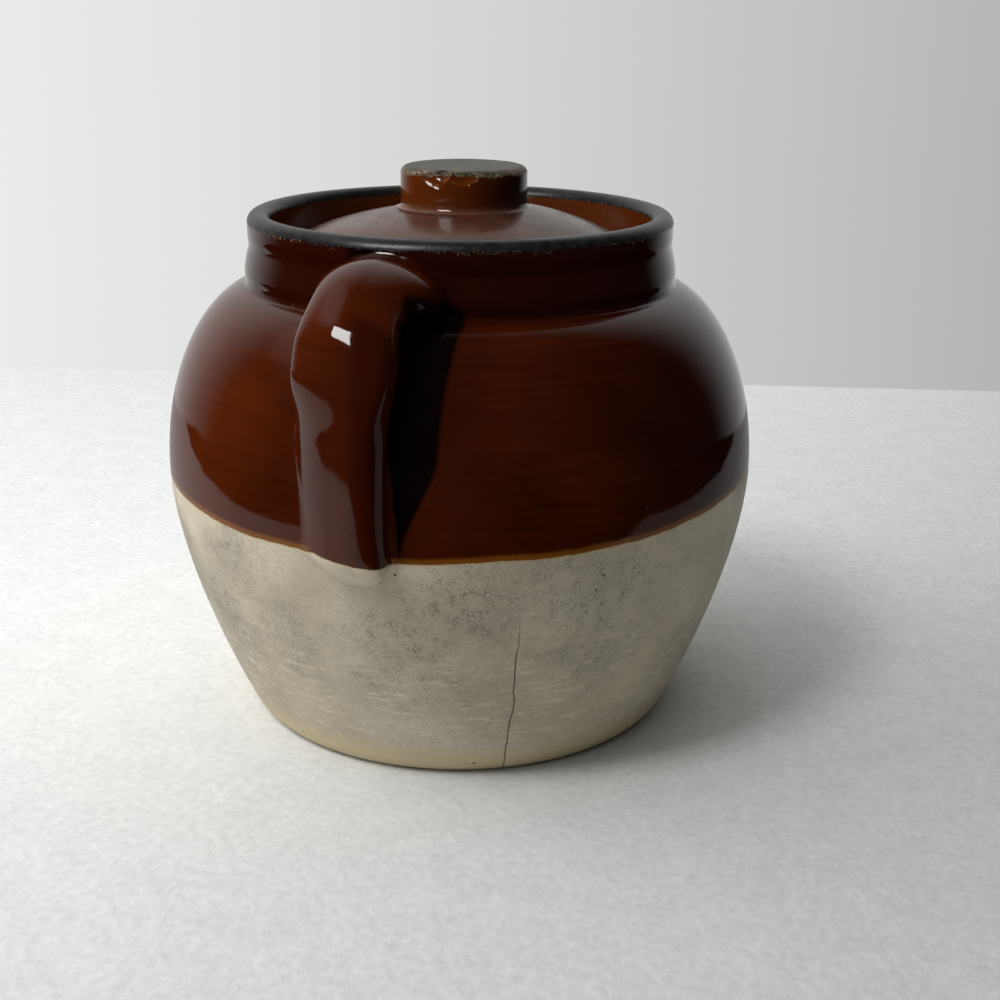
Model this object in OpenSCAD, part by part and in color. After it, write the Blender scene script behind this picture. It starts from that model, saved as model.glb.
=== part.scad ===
/* [Pot body] */
// Diameter across the belly at its widest
belly_d = 164.8; // [156:0.4:176]
// Height of the widest place above the table
belly_z = 72; // [66:1:78]
// Diameter of the flat underside
base_d = 115.6; // [100:0.4:124]
// Height over which the foot of the wall rounds out of the underside
foot_round = 6; // [3:0.5:9]
// How far the wall stands out from the underside at the top of that rounding
foot_out = 5.6; // [3:0.2:8]
// Outward lean of the wall just above the foot, in mm per mm of height
foot_lean = 0.475; // [0.3:0.025:0.6]
// Height of the pot to the top of its rim
pot_h = 140.7; // [138:0.1:148]
// How much further in the shoulder's curve would go if the neck didn't cut it off
shoulder_tuck = 5; // [3:0.5:8]
// Height of the crease between shoulder and neck
neck_z = 121.5; // [116:0.5:123]
// Diameter of the neck at that crease
neck_d = 118.6; // [114:0.2:124]
// How far out from the neck the crease begins to round
crease_round = 1.6; // [0.8:0.2:3]
// Thickness of the thrown wall
wall = 6.5; // [5:0.25:8]
// Thickness of the floor
floor_t = 8; // [6:0.5:12]
// Radius inside, between floor and wall
floor_round = 12; // [6:1:16]

/* [Rim] */
// Diameter across the rolled rim
rim_d = 116.4; // [113:0.2:121]
// Thickness of the rim
rim_t = 6; // [5:0.25:7]
// Rounding of the rim's outer edge
rim_round = 2.6; // [1:0.2:3]
// Width of the flat that is left on top of the rim between its two roundings
rim_flat = 0.8; // [0.4:0.1:1.6]
// Depth of the groove that the potter's finger left under the rim
groove_depth = 0.5; // [0.2:0.1:1]
// How much the neck swells below that groove
neck_swell = 0.3; // [0:0.1:0.8]

/* [Lid ledge] */
// Depth of the ledge below the top of the rim, where the lid rests
ledge_drop = 16.7; // [14:0.1:18]
// How far the ledge stands in from the neck's inner wall
ledge_w = 5.5; // [4:0.5:7]
// Thickness of the ledge at its inner edge
ledge_t = 5; // [4:0.5:7]

/* [Lid] */
// Gap all round between the lid and the neck
lid_gap = 1.5; // [1:0.25:2.5]
// Thickness of the lid at its edge
lid_edge_t = 5.7; // [4:0.1:7]
// Radius of the sphere that the lid's top is part of
dome_r = 100; // [90:1:120]
// Thickness of the lid's wall above its hollow underside
lid_wall = 6; // [4.5:0.25:8]
// Width of the flat ring under the lid that sits on the ledge
lid_ring_w = 8; // [6:0.5:12]

/* [Knob] */
// Diameter of the knob
knob_d = 34.8; // [28:0.2:40]
// Height of the knob above the lid's crown
knob_h = 9.2; // [6:0.2:14]
// How far the knob's base flares out where it is luted to the lid
knob_flare = 2.2; // [1:0.2:4]
// Thickness of the flare's edge on the lid
knob_flare_t = 0.4; // [0.2:0.1:1]
// Rounding of the knob's worn top edge
knob_round = 1.4; // [0.6:0.2:2.4]

/* [Handle] */
// How far the handle's outer face stands out from the belly
handle_stand = 8; // [6.5:0.25:10.5]
// Depth below the top of the rim where the handle's crest springs from the neck
handle_root_drop = 6.7; // [6:0.1:11]
// Upward slant of the handle where it leaves the neck, in degrees
handle_slant = 30; // [10:1:40]
// How full the arch is on its way out from the neck
arch_out = 22; // [16:0.5:26]
// How full the arch is above the grip
arch_up = 28; // [20:0.5:32]
// Depth below the neck's crease where the arch has turned down into the grip
grip_top_drop = 17.5; // [14:0.5:21]
// Height above the belly's widest place where the grip begins to curl in
grip_end_rise = 4; // [0:0.5:8]
// Radius of that curl
foot_curl = 17.6; // [14:0.2:20]
// Angle that the curl turns through before it is lost in the wall, in degrees
foot_turn = 72; // [65:1:80]
// Width of the strap where it spreads on to the neck
root_w = 31; // [24:0.5:34]
// Width of the strap at the top of its arch
arch_w = 24; // [20:0.5:28]
// Width of the strap where the arch turns down
bend_w = 26.5; // [22:0.5:30]
// Width of the strap along the grip
grip_w = 21.5; // [17:0.5:26]
// Width of the strap at its thumbed foot
foot_w = 24.5; // [18:0.5:28]
// Thickness of the strap at the neck
root_t = 12; // [9:0.5:13]
// Thickness of the strap along the grip
grip_t = 10; // [9:0.25:12]
// How much the strap's outer face falls away from its ridge to its edges at the arch
arch_crown = 3; // [0.5:0.25:3.5]
// The same along the grip
grip_crown = 1.2; // [0:0.2:2]

/* [Glaze] */
// Height of the dip line between brown and cream glaze
dip_z = 68.5; // [63:0.5:70]

/* [Hidden] */

brown = "#5a2410";
dark_brown = "#3a160b";
cream = "#a9a390";

$fn = 96;
small_round = 1;            // rounding of edges that the sponge wiped
grip_curve_steps = 14;
strap_points = 24;          // points round one section of the strap
strap_fullness = 2.5;       // 2 is an ellipse, more is squarer
ridge_sharpness = 1.5;      // of the fall from the strap's ridge, 1 is a sharp roof

belly_r = belly_d / 2;
base_r = base_d / 2;
neck_r = neck_d / 2;
rim_r = rim_d / 2;
mouth_r = rim_r - rim_t;    // inner wall of the neck
ledge_z = pot_h - ledge_drop;
ledge_r = mouth_r - ledge_w;
rim_inner_round = rim_t - rim_round - rim_flat;

lid_r = mouth_r - lid_gap;
lid_edge_z = ledge_z + lid_edge_t;
crown_z = lid_edge_z + dome_r - sqrt(dome_r * dome_r - lid_r * lid_r);
knob_r = knob_d / 2;
knob_seat_r = knob_r + knob_flare;
knob_seat_z = crown_z - dome_r + sqrt(dome_r * dome_r - knob_seat_r * knob_seat_r);
handle_reach = belly_r + handle_stand;
handle_root_z = pot_h - handle_root_drop;
grip_top_z = neck_z - grip_top_drop;
grip_end_z = belly_z + grip_end_rise;

// ---- curves ----

function along(a, b, t) = a + (b - a) * t;

// A cubic curve from p to s, leaving towards q and arriving from r
function bezier(p, q, r, s, steps, first = 0) = [
    for (i = [first:steps]) let (t = i / steps, u = 1 - t)
        u * u * u * p + 3 * u * u * t * q + 3 * u * t * t * r + t * t * t * s
];

// Points on an arc or a quarter ellipse, from angle a to angle b
function arc(centre, rx, rz, a, b, steps, first = 0) = [
    for (i = [first:steps]) let (t = along(a, b, i / steps))
        centre + [rx * cos(t), rz * sin(t)]
];

function unit(v) = v / norm(v);

// A line of points moved to its left by d
function moved_left(points, d) = [
    for (i = [0:len(points) - 1])
        let (
            before = points[max(i - 1, 0)],
            after = points[min(i + 1, len(points) - 1)],
            dir = unit(after - before)
        )
        points[i] + d * [-dir[1], dir[0]]
];

// ---- outline of the pot, as half a cross-section ----

foot_top = [base_r + foot_out, foot_round];
wall_rise = belly_z - foot_round;
wall_low_fullness = 0.27;
wall_high_fullness = 0.29;

// The wall from the foot to the belly
wall_curve = bezier(
    foot_top,
    foot_top + [foot_lean, 1] * wall_rise * wall_low_fullness,
    [belly_r, belly_z - wall_rise * wall_high_fullness],
    [belly_r, belly_z],
    16
);

// The shoulder is a quarter ellipse that the neck cuts off
shoulder_rx = belly_r - neck_r + shoulder_tuck;
shoulder_end = acos(shoulder_tuck / shoulder_rx);
shoulder_rz = (neck_z - belly_z) / sin(shoulder_end);
shoulder_last = acos((shoulder_tuck + crease_round) / shoulder_rx);
shoulder_curve = arc(
    [belly_r - shoulder_rx, belly_z], shoulder_rx, shoulder_rz, 0, shoulder_last, 18, 1
);

// The neck swells a little, then dips into a groove under the rim
swell_at = 0.28;            // as shares of the neck's height
groove_at = 0.68;
bump_spread = 0.16;
function soft_bump(t, centre) = exp(-pow((t - centre) / bump_spread, 2));
function neck_at(t) =
    along(neck_r, rim_r, t)
    + neck_swell * soft_bump(t, swell_at)
    - groove_depth * soft_bump(t, groove_at);
neck_curve = [
    for (i = [1:9]) let (t = i / 10)
        [neck_at(t), along(neck_z, pot_h - rim_round - 1, t)]
];
crease = [neck_r, neck_z];
crease_curve = [
    for (p = bezier(shoulder_curve[17], crease, crease, neck_curve[0], 6, 1))
        if (p != neck_curve[0]) p
];

rim_curve = concat(
    arc([rim_r - rim_round, pot_h - rim_round], rim_round, rim_round, 0, 90, 5),
    arc([mouth_r + rim_inner_round, pot_h - rim_inner_round],
        rim_inner_round, rim_inner_round, 90, 180, 5)
);

foot_fullness = 0.45;
foot_curve = bezier(
    [base_r, 0],
    [base_r + foot_round * foot_fullness, 0],
    foot_top - [foot_lean, 1] * foot_round * foot_fullness,
    foot_top,
    5
);

outer_curve = concat(foot_curve, [for (i = [1:16]) wall_curve[i]],
    shoulder_curve, crease_curve, neck_curve, rim_curve);

// The inside of the wall runs alongside the outside, up to the fillet under the ledge
ledge_fillet = 3;
inside_wall = moved_left(concat(wall_curve, shoulder_curve), wall);
ledge_under_z = ledge_z - ledge_t;
inside_curve = [
    for (p = inside_wall)
        if (p[1] > floor_t + floor_round && p[1] < ledge_under_z - ledge_fillet
            && p[0] > ledge_r + 2 * small_round) p
];
inside_foot = inside_curve[0];
floor_curve = bezier(
    [inside_foot[0] - floor_round, floor_t],
    [inside_foot[0] - floor_round / 3, floor_t],
    inside_foot - [foot_lean, 1] * floor_round / 2,
    inside_foot,
    6
);

module pot_outline() {
    inner = concat(
        [[0, floor_t]],
        floor_curve,
        [for (i = [1:len(inside_curve) - 1]) inside_curve[i]],
        arc([ledge_r + small_round, ledge_under_z + small_round],
            small_round, small_round, 250, 180, 2),
        arc([ledge_r + small_round, ledge_z - small_round],
            small_round, small_round, 180, 90, 3),
        [[mouth_r, ledge_z]]
    );
    inner_down = [for (i = [len(inner) - 1:-1:0]) inner[i]];
    polygon(concat([[0, 0]], outer_curve, inner_down));
}

// The pot as if it were solid clay: what the handle is luted to
module pot_outside() {
    rotate_extrude() polygon(concat([[0, 0]], outer_curve, [[0, pot_h]]));
}

module pot_body() {
    color(brown) rotate_extrude() intersection() {
        pot_outline();
        translate([0, dip_z]) square([belly_d, pot_h]);
    }
    color(cream) rotate_extrude() intersection() {
        pot_outline();
        square([belly_d, dip_z]);
    }
}

// ---- handle ----

// The crest line of the strap, as [distance from the axis, height]
root_sunk = 3.5;            // how far the crest starts inside the neck's wall
grip_lean = 0.8;            // how much further in the grip is at its top
root_start = [neck_r - root_sunk, handle_root_z];
grip_start = [handle_reach - grip_lean, grip_top_z];
curl_centre = [handle_reach - foot_curl, grip_end_z];
arch_curve = bezier(
    root_start,
    root_start + arch_out * [cos(handle_slant), sin(handle_slant)],
    grip_start + [0, arch_up],
    grip_start,
    grip_curve_steps
);
grip_curve = [for (i = [1:4]) along(grip_start, [handle_reach, grip_end_z], i / 5)];
curl_curve = arc(curl_centre, foot_curl, foot_curl, 0, -foot_turn, 9);
crest = concat(arch_curve, grip_curve, curl_curve);
crest_last = len(crest) - 1;

// Stations along the strap, counted in rings
arch_ring = 4;              // top of the arch
bend_ring = 10;             // where the arch turns down
grip_first = grip_curve_steps;
grip_waist = grip_first + 3;
grip_last = grip_first + 5; // where the curl begins
foot_ring = grip_first + 10;

// A size that eases from a at ring first to b at ring last
function eased(i, first, last, a, b) =
    along(a, b, (1 - cos(180 * min(max((i - first) / (last - first), 0), 1))) / 2);

function strap_width(i) =
    i < arch_ring ? eased(i, 0, arch_ring, root_w, arch_w)
    : i < bend_ring ? eased(i, arch_ring, bend_ring, arch_w, bend_w)
    : i < grip_waist ? eased(i, bend_ring, grip_waist, bend_w, grip_w)
    : eased(i, grip_waist, foot_ring, grip_w, foot_w);

// The strap's sections stand upright in the neck and square to its crest further on
function strap_out(i) =
    let (
        dir = unit(crest[min(i + 1, crest_last)] - crest[max(i - 1, 0)]),
        square_to_crest = [-dir[1], dir[0]]
    )
    unit(along([0, 1], square_to_crest, min(i / arch_ring, 1)));

// The thumbed foot is round at its end, seen from outside
foot_taper = 0.6;
function foot_narrowing(i) =
    i <= grip_last ? 1
    : sqrt(1 - foot_taper * pow((i - grip_last) / (crest_last - grip_last), 3));

function sign_power(v, p) = sign(v) * pow(abs(v), p);

function strap_ring(i) =
    let (
        out = strap_out(i),
        w = strap_width(i) * foot_narrowing(i),
        t = eased(i, 0, grip_first, root_t, grip_t),
        crown = eased(i, bend_ring, grip_last, arch_crown, grip_crown),
        middle = crest[i] - out * t / 2
    )
    [
        for (k = [0:strap_points - 1])
            let (
                a = 360 * k / strap_points,
                across = sign_power(cos(a), 2 / strap_fullness),
                deep = sign_power(sin(a), 2 / strap_fullness),
                fall = deep > 0 ? crown * pow(abs(across), ridge_sharpness) : 0,
                p = middle + out * (deep * t / 2 - fall * deep)
            )
            [across * w / 2, -p[0], p[1]]
    ];

module strap() {
    rings = [for (i = [0:crest_last]) strap_ring(i)];
    n = strap_points;
    sides = [
        for (i = [0:crest_last - 1], k = [0:n - 1])
            let (a = i * n + k, b = i * n + (k + 1) % n)
            each [[a, b + n, b], [a, a + n, b + n]]
    ];
    root_cap = [for (k = [0:n - 1]) k];
    foot_cap = [for (k = [n - 1:-1:0]) crest_last * n + k];
    polyhedron([for (ring = rings) each ring], concat(sides, [root_cap, foot_cap]));
}

module luted_strap() {
    difference() {
        strap();
        pot_outside();
    }
}

// The strap was dipped with the pot, so its foot is cream
module handle() {
    color(dark_brown) intersection() {
        luted_strap();
        translate([-belly_r, -handle_reach - belly_r, dip_z]) cube([belly_d, belly_d, pot_h]);
    }
    color(cream) intersection() {
        luted_strap();
        translate([-belly_r, -handle_reach - belly_r, 0]) cube([belly_d, belly_d, dip_z]);
    }
}

// ---- lid ----

module lid_outline() {
    lid_edge_round = 2 * small_round;
    ring_inner_r = lid_r - lid_ring_w;
    hollow_r = dome_r - lid_wall;
    dome_centre_z = crown_z - dome_r;
    hollow_end = acos((ring_inner_r - 2 * small_round) / hollow_r);
    dome_start = acos((lid_r - small_round) / dome_r);
    dome_end = acos(knob_seat_r / dome_r);
    polygon(concat(
        [[0, dome_centre_z + hollow_r]],
        arc([0, dome_centre_z], hollow_r, hollow_r, 90, hollow_end, 10, 1),
        [[ring_inner_r, ledge_z]],
        arc([lid_r - small_round, ledge_z + small_round], small_round, small_round, -90, 0, 3),
        arc([lid_r - lid_edge_round, lid_edge_z - lid_edge_round],
            lid_edge_round, lid_edge_round, 0, 50, 3),
        arc([0, dome_centre_z], dome_r, dome_r, dome_start, dome_end, 12, 1),
        [[0, knob_seat_z]]
    ));
}

module lid() {
    color(brown) rotate_extrude() lid_outline();
}

// The knob stands on a flat landing on the lid's crown
module knob_outline() {
    top_z = crown_z + knob_h;
    polygon(concat(
        [[0, knob_seat_z], [knob_seat_r, knob_seat_z]],
        arc([knob_seat_r, knob_seat_z + knob_flare_t + knob_flare],
            knob_flare, knob_flare, -90, -180, 6),
        arc([knob_r - knob_round, top_z - knob_round], knob_round, knob_round, 0, 90, 5),
        [[0, top_z]]
    ));
}

module lid_knob() {
    color(dark_brown) rotate_extrude() knob_outline();
}

pot_body();
handle();
lid();
lid_knob();
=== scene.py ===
# A stoneware bean pot and its loose lid: brown slip glaze above, crazed cream glaze below.
import bpy
import math
from mathutils import Matrix, Vector


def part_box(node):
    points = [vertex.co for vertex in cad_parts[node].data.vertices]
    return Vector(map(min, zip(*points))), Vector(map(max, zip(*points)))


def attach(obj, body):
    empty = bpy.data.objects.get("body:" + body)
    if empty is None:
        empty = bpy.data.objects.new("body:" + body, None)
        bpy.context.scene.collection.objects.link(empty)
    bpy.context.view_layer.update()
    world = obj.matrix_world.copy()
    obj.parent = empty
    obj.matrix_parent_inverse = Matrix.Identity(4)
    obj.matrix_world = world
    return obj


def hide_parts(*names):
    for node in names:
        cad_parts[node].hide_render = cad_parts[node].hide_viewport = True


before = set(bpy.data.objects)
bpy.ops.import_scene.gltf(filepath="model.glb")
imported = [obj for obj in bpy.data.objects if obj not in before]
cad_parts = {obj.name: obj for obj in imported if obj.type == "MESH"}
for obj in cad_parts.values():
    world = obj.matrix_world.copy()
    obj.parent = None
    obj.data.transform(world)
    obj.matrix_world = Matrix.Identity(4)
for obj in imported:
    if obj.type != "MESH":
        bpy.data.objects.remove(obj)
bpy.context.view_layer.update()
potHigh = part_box("pot_body")[1]
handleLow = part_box("handle")[0]
lidLow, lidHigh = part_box("lid")
knobLow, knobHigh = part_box("lid_knob")

mm = 0.001
fullTurn = 2 * math.pi

# What the camera saw: it stands a little to the right of the handle and looks down.
view = {
    "place": (130.8, -390.9, 196.2),   # mm in the pot's frame
    "down": 18.74,                     # degrees below level
    "turn": 16.907,                    # degrees round the pot
    "roll": 0.545,
    "lens": 53.5,
}


def mix(a, b, share):
    return a + (b - a) * share


def easing(value, first, last):
    share = min(max((value - first) / (last - first), 0), 1)
    return (1 - math.cos(math.pi * share)) / 2


def bezierPoints(p, q, r, s, steps, first=0):
    points = []
    for i in range(first, steps + 1):
        t = i / steps
        u = 1 - t
        weights = (u * u * u, 3 * u * u * t, 3 * u * t * t, t * t * t)
        points.append(tuple(sum(w * c[k] for w, c in zip(weights, (p, q, r, s))) for k in (0, 1)))
    return points


def arcPoints(centre, radiusOut, radiusUp, start, end, steps, first=0):
    points = []
    for i in range(first, steps + 1):
        angle = math.radians(mix(start, end, i / steps))
        points.append((centre[0] + radiusOut * math.cos(angle), centre[1] + radiusUp * math.sin(angle)))
    return points


def movedLeft(points, distance):
    moved = []
    for i, (out, up) in enumerate(points):
        before = points[max(i - 1, 0)]
        after = points[min(i + 1, len(points) - 1)]
        across, rise = after[0] - before[0], after[1] - before[1]
        length = math.hypot(across, rise)
        moved.append((out - distance * rise / length, up + distance * across / length))
    return moved


def deselectAll():
    if bpy.context.object and bpy.context.object.mode != "OBJECT":
        bpy.ops.object.mode_set(mode="OBJECT")
    bpy.ops.object.select_all(action="DESELECT")


def pick(piece):
    deselectAll()
    piece.select_set(True)
    bpy.context.view_layer.objects.active = piece


def startLine(name, point):
    # one vertex, from a plane merged at its centre
    deselectAll()
    bpy.ops.mesh.primitive_plane_add(size=mm)
    piece = bpy.context.object
    piece.name = name
    piece.data.name = name
    bpy.ops.object.mode_set(mode="EDIT")
    bpy.ops.mesh.select_all(action="SELECT")
    bpy.ops.mesh.merge(type="CENTER")
    bpy.ops.transform.translate(value=[c * mm for c in point])
    return piece


def drawLine(points):
    for here, there in zip(points, points[1:]):
        step = [(b - a) * mm for a, b in zip(here, there)]
        bpy.ops.mesh.extrude_region_move(TRANSFORM_OT_translate={"value": step})


def throwOnWheel(name, outline, segments):
    # the half section is drawn beside the axis and spun round it
    points = [(out, 0, up) for out, up in outline]
    piece = startLine(name, points[0])
    drawLine(points)
    bpy.ops.mesh.select_all(action="SELECT")
    bpy.ops.mesh.spin(steps=segments, angle=fullTurn, center=(0, 0, 0), axis=(0, 0, 1))
    bpy.ops.mesh.select_all(action="SELECT")
    bpy.ops.mesh.remove_doubles(threshold=0.001 * mm)
    bpy.ops.mesh.normals_make_consistent(inside=False)
    bpy.ops.object.mode_set(mode="OBJECT")
    return piece


def applyModifier(piece, kind, **settings):
    pick(piece)
    bpy.ops.object.modifier_add(type=kind)
    modifier = piece.modifiers[-1]
    for setting, value in settings.items():
        setattr(modifier, setting, value)
    bpy.ops.object.modifier_apply(modifier=modifier.name)


def smoothShade(piece, degrees):
    pick(piece)
    bpy.ops.object.shade_smooth_by_angle(angle=math.radians(degrees))


def cloudField(name, size):
    field = bpy.data.textures.new(name, "CLOUDS")
    field.noise_scale = size * mm
    field.noise_depth = 1
    return field


def selectVertices(piece, test):
    pick(piece)
    bpy.ops.object.mode_set(mode="EDIT")
    bpy.ops.mesh.select_mode(type="VERT")
    bpy.ops.mesh.select_all(action="DESELECT")
    bpy.ops.object.mode_set(mode="OBJECT")
    for vertex in piece.data.vertices:
        vertex.select = test(vertex.co)
    bpy.ops.object.mode_set(mode="EDIT")


def cutWith(piece, cutter, operation="DIFFERENCE"):
    applyModifier(piece, "BOOLEAN", object=cutter, operation=operation, solver="EXACT")
    bpy.data.objects.remove(cutter)


# the pot, with its lengths in mm
pot = {
    "belly": potHigh.x / mm - 0.12,   # the wobble takes up the rest
    "bellyHeight": 72,
    "base": 57.8,
    "footRound": 6,
    "footOut": 5.6,
    "footLean": 0.475,
    "height": potHigh.z / mm,
    "shoulderTuck": 5,
    "neckHeight": 121.5,
    "neck": 59.3,
    "creaseRound": 1.6,
    "wall": 6.5,
    "floor": 8,
    "floorRound": 12,
    "rim": 58.2,
    "rimThickness": 6,
    "rimRound": 2.6,
    "rimFlat": 0.8,
    "swell": 0.3,             # the neck swells and narrows a little on its way up
    "swellAt": 0.28,          # share of the neck's height
    "groove": 0.5,
    "grooveAt": 0.68,
    "ripple": 0.16,           # how far up and down swell and groove reach, as a share too
    "ledgeDrop": 16.7,
    "ledgeWidth": 5.5,
    "ledgeThickness": 5,
    "bellyMarks": 0.012,      # height of the throwing marks
    "neckMarks": 0.02,
    "markSpacings": (4.6, 2.9),
    "wobble": 0.2,            # how far the wall strays from round
    "wobbleSize": 45,
    "segments": 176,
}


def neckAt(share):
    swell = math.exp(-(((share - pot["swellAt"]) / pot["ripple"]) ** 2))
    groove = math.exp(-(((share - pot["grooveAt"]) / pot["ripple"]) ** 2))
    return mix(pot["neck"], pot["rim"], share) + pot["swell"] * swell - pot["groove"] * groove


def throwingMark(up):
    onNeck = easing(up, pot["neckHeight"], pot["neckHeight"] + 3)
    height = mix(pot["bellyMarks"], pot["neckMarks"], onNeck) * easing(up, 8, 20)
    coarse, fine = pot["markSpacings"]
    return height * (math.sin(fullTurn * up / coarse) + 0.6 * math.sin(fullTurn * up / fine + 1.3))


def potOutside():
    belly = (pot["belly"], pot["bellyHeight"])
    footTop = (pot["base"] + pot["footOut"], pot["footRound"])
    rise = pot["bellyHeight"] - pot["footRound"]
    roundIn = 0.45 * pot["footRound"]
    foot = bezierPoints(
        (pot["base"], 0), (pot["base"] + roundIn, 0),
        (footTop[0] - pot["footLean"] * roundIn, footTop[1] - roundIn), footTop, 8)
    wall = bezierPoints(
        footTop, (footTop[0] + pot["footLean"] * 0.27 * rise, footTop[1] + 0.27 * rise),
        (belly[0], belly[1] - 0.29 * rise), belly, 44, 1)
    across = pot["belly"] - pot["neck"] + pot["shoulderTuck"]
    last = math.acos(pot["shoulderTuck"] / across)
    upward = (pot["neckHeight"] - pot["bellyHeight"]) / math.sin(last)
    cutOff = math.degrees(math.acos((pot["shoulderTuck"] + pot["creaseRound"]) / across))
    shoulder = arcPoints((belly[0] - across, belly[1]), across, upward, 0, cutOff, 40, 1)
    neckTop = pot["height"] - pot["rimRound"] - 1
    neck = [(neckAt(i / 30), mix(pot["neckHeight"], neckTop, i / 30)) for i in range(3, 30)]
    crease = bezierPoints(
        shoulder[-1], (pot["neck"], pot["neckHeight"]), (pot["neck"], pot["neckHeight"]),
        neck[0], 8, 1)
    wall = [(out + throwingMark(up), up) for out, up in wall + shoulder + crease[:-1] + neck]
    return foot + wall


def wallRadius(up, outside):
    for (lowOut, low), (highOut, high) in zip(outside, outside[1:]):
        if low <= up <= high:
            return mix(lowOut, highOut, (up - low) / max(high - low, 1e-6))
    return outside[-1][0]


def solidWall(name, grow):
    # the pot as if it were solid, so that clay can be worked against its wall
    skin = movedLeft(potOutside() + rimOutline()[:10], -grow)
    outline = [(0, -grow)] + skin + [(0, skin[-1][1])]
    return throwOnWheel(name, outline, pot["segments"])


def rimOutline():
    mouth = pot["rim"] - pot["rimThickness"]
    innerRound = pot["rimThickness"] - pot["rimRound"] - pot["rimFlat"]
    outer = arcPoints(
        (pot["rim"] - pot["rimRound"], pot["height"] - pot["rimRound"]),
        pot["rimRound"], pot["rimRound"], 0, 90, 9)
    inner = arcPoints(
        (mouth + innerRound, pot["height"] - innerRound), innerRound, innerRound, 90, 180, 9)
    return outer + inner


def potInside(outside):
    mouth = pot["rim"] - pot["rimThickness"]
    ledge = mouth - pot["ledgeWidth"]
    ledgeTop = pot["height"] - pot["ledgeDrop"]
    under = ledgeTop - pot["ledgeThickness"]
    wall = [
        (out, up) for out, up in movedLeft(outside, pot["wall"])
        if pot["floor"] + pot["floorRound"] < up < under - 3 and out > ledge + 2
    ]
    low = wall[0]
    floor = bezierPoints(
        (low[0] - pot["floorRound"], pot["floor"]), (low[0] - pot["floorRound"] / 3, pot["floor"]),
        (low[0] - pot["footLean"] * pot["floorRound"] / 2, low[1] - pot["floorRound"] / 2), low, 9)
    lip = arcPoints((ledge + 1, under + 1), 1, 1, 250, 180, 4)
    lip += arcPoints((ledge + 1, ledgeTop - 1), 1, 1, 180, 90, 5)
    corner = [(mouth - 0.8, ledgeTop), (mouth - 0.2, ledgeTop + 0.2), (mouth, ledgeTop + 0.8)]
    upright = [(mouth, mix(ledgeTop + 3, pot["height"] - 4, i / 4)) for i in range(5)]
    middle = [(floor[0][0] * share, pot["floor"]) for share in (0, 0.15, 0.35, 0.6, 0.85)]
    return middle + floor + wall[1:] + lip + corner + upright


def makePot():
    outside = potOutside()
    under = [(pot["base"] * share, 0) for share in (0, 0.1, 0.3, 0.5, 0.7, 0.85, 0.95, 0.985)]
    inside = potInside(outside)
    outline = under + outside + rimOutline() + inside[::-1]
    piece = throwOnWheel("potBody", outline, pot["segments"])
    walls = piece.vertex_groups.new(name="walls")
    for vertex in piece.data.vertices:
        weight = easing(vertex.co.z / mm, 6, 30) * (1 - easing(vertex.co.z / mm, 110, 122))
        walls.add([vertex.index], weight, "REPLACE")
    applyModifier(
        piece, "DISPLACE", texture=cloudField("clayWobble", pot["wobbleSize"]), texture_coords="LOCAL",
        strength=pot["wobble"] * mm, mid_level=0.5, vertex_group="walls")
    smoothShade(piece, 50)
    # the base is bare, and inside the pot the slip covers everything up to the rim
    for polygon in piece.data.polygons:
        centre = polygon.center
        outward = centre.x * polygon.normal.x + centre.y * polygon.normal.y
        faceUp = polygon.normal.z > 0.5
        if centre.z < 0.1 * mm:
            polygon.material_index = 2
        elif centre.z < potHigh.z - 3 * mm and (
                outward < 0 or faceUp and centre.xy.length < 55 * mm):
            polygon.material_index = 1
    return piece


# the handle, with its lengths in mm
strap = {
    "reach": -handleLow.y / mm,
    "rootHeight": 134,
    "rootSunk": 3.5,
    "slant": 30,
    "archOut": 15.7,
    "archUp": 29.8,
    "gripTop": 103.9,
    "gripEnd": 70,
    "gripLean": 1,            # how far it leans back to the wall at its lower end
    "curl": 9,
    "curlTurn": 85,
    # along the strap from root to foot: share of its length, and what it has there. A twist,
    # in degrees, turns the outer face to the left, and a shift carries it to the side
    "widths": ((0, 31), (0.22, 22.3), (0.42, 26.1), (0.6, 26.6), (0.8, 27.4), (1, 29.3)),
    "thicknesses": ((0, 12), (0.25, 12), (0.5, 12), (0.8, 10.5), (1, 9)),
    "twists": ((0, 0), (0.22, -11), (0.42, 5), (0.6, 24), (0.8, 25), (1, 18)),
    "shifts": ((0, 0), (0.22, -0.6), (0.42, -1), (0.6, -2.9), (0.8, -3.4), (1, -3.4)),
    "crown": 0.17,            # share of the thickness by which the outer face falls to its edges
    "fullness": (2.6, 4.4),   # how square the section is on its left and on its right
    "setBack": 0.9,           # how far a crowned section's corners stay behind the crest
    "bow": 2.2,               # how much lower the arch's sides are than its middle
    "bowSide": 14,
    "bowUp": (104, 122),
    "sectionPoints": 56,
    "patchSide": 12,          # how far the patch of wall worked with the strap reaches past it
    "patchBack": -40,
    "patchLow": 48,
    "clay": 0.7,              # voxel size when strap and wall are worked together
    "smoothing": 6,
    "jointReach": 4,
    "jointSmoothing": 9,
    "crispBelow": 68,         # the foot's lower edge was left crisp
    "sink": 0.12,             # how deep the strap's clay goes into the wall
}


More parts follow.
